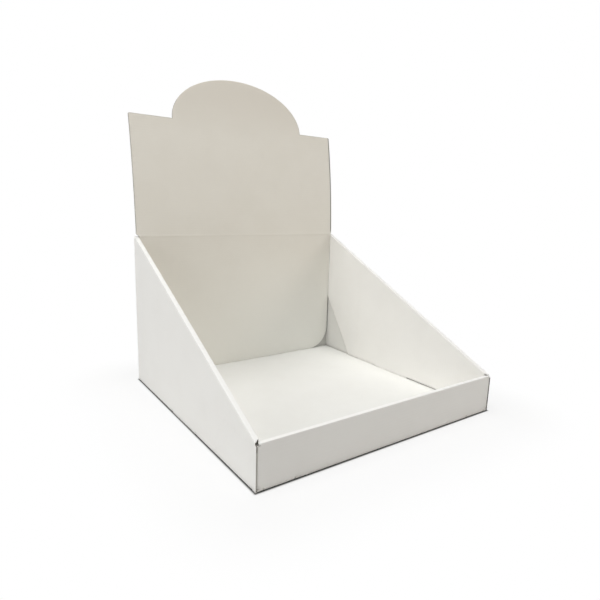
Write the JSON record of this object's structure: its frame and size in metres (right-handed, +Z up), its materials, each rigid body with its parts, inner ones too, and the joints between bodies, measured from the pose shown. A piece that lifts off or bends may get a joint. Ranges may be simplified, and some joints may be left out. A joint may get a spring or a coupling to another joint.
{
  "type": "counter display tray",
  "caption": "White folded-board counter tray with slanted double side walls, a rolled-over front lip and a tall header card with an arched top.",
  "frame": {"origin": "centre of the base's underside, on the ground", "axes": "+Z up, the low front lip faces -Y, +X to the right seen from the front"},
  "size_m": [0.3, 0.3178, 0.3791],
  "materials": {
    "white_board": "white-lined corrugated board, matt",
    "white_card": "white-lined corrugated board, matt"
  },
  "bodies": {
    "root": {"tray": "white_board", "header_card": "white_card"}
  },
  "joints": []
}
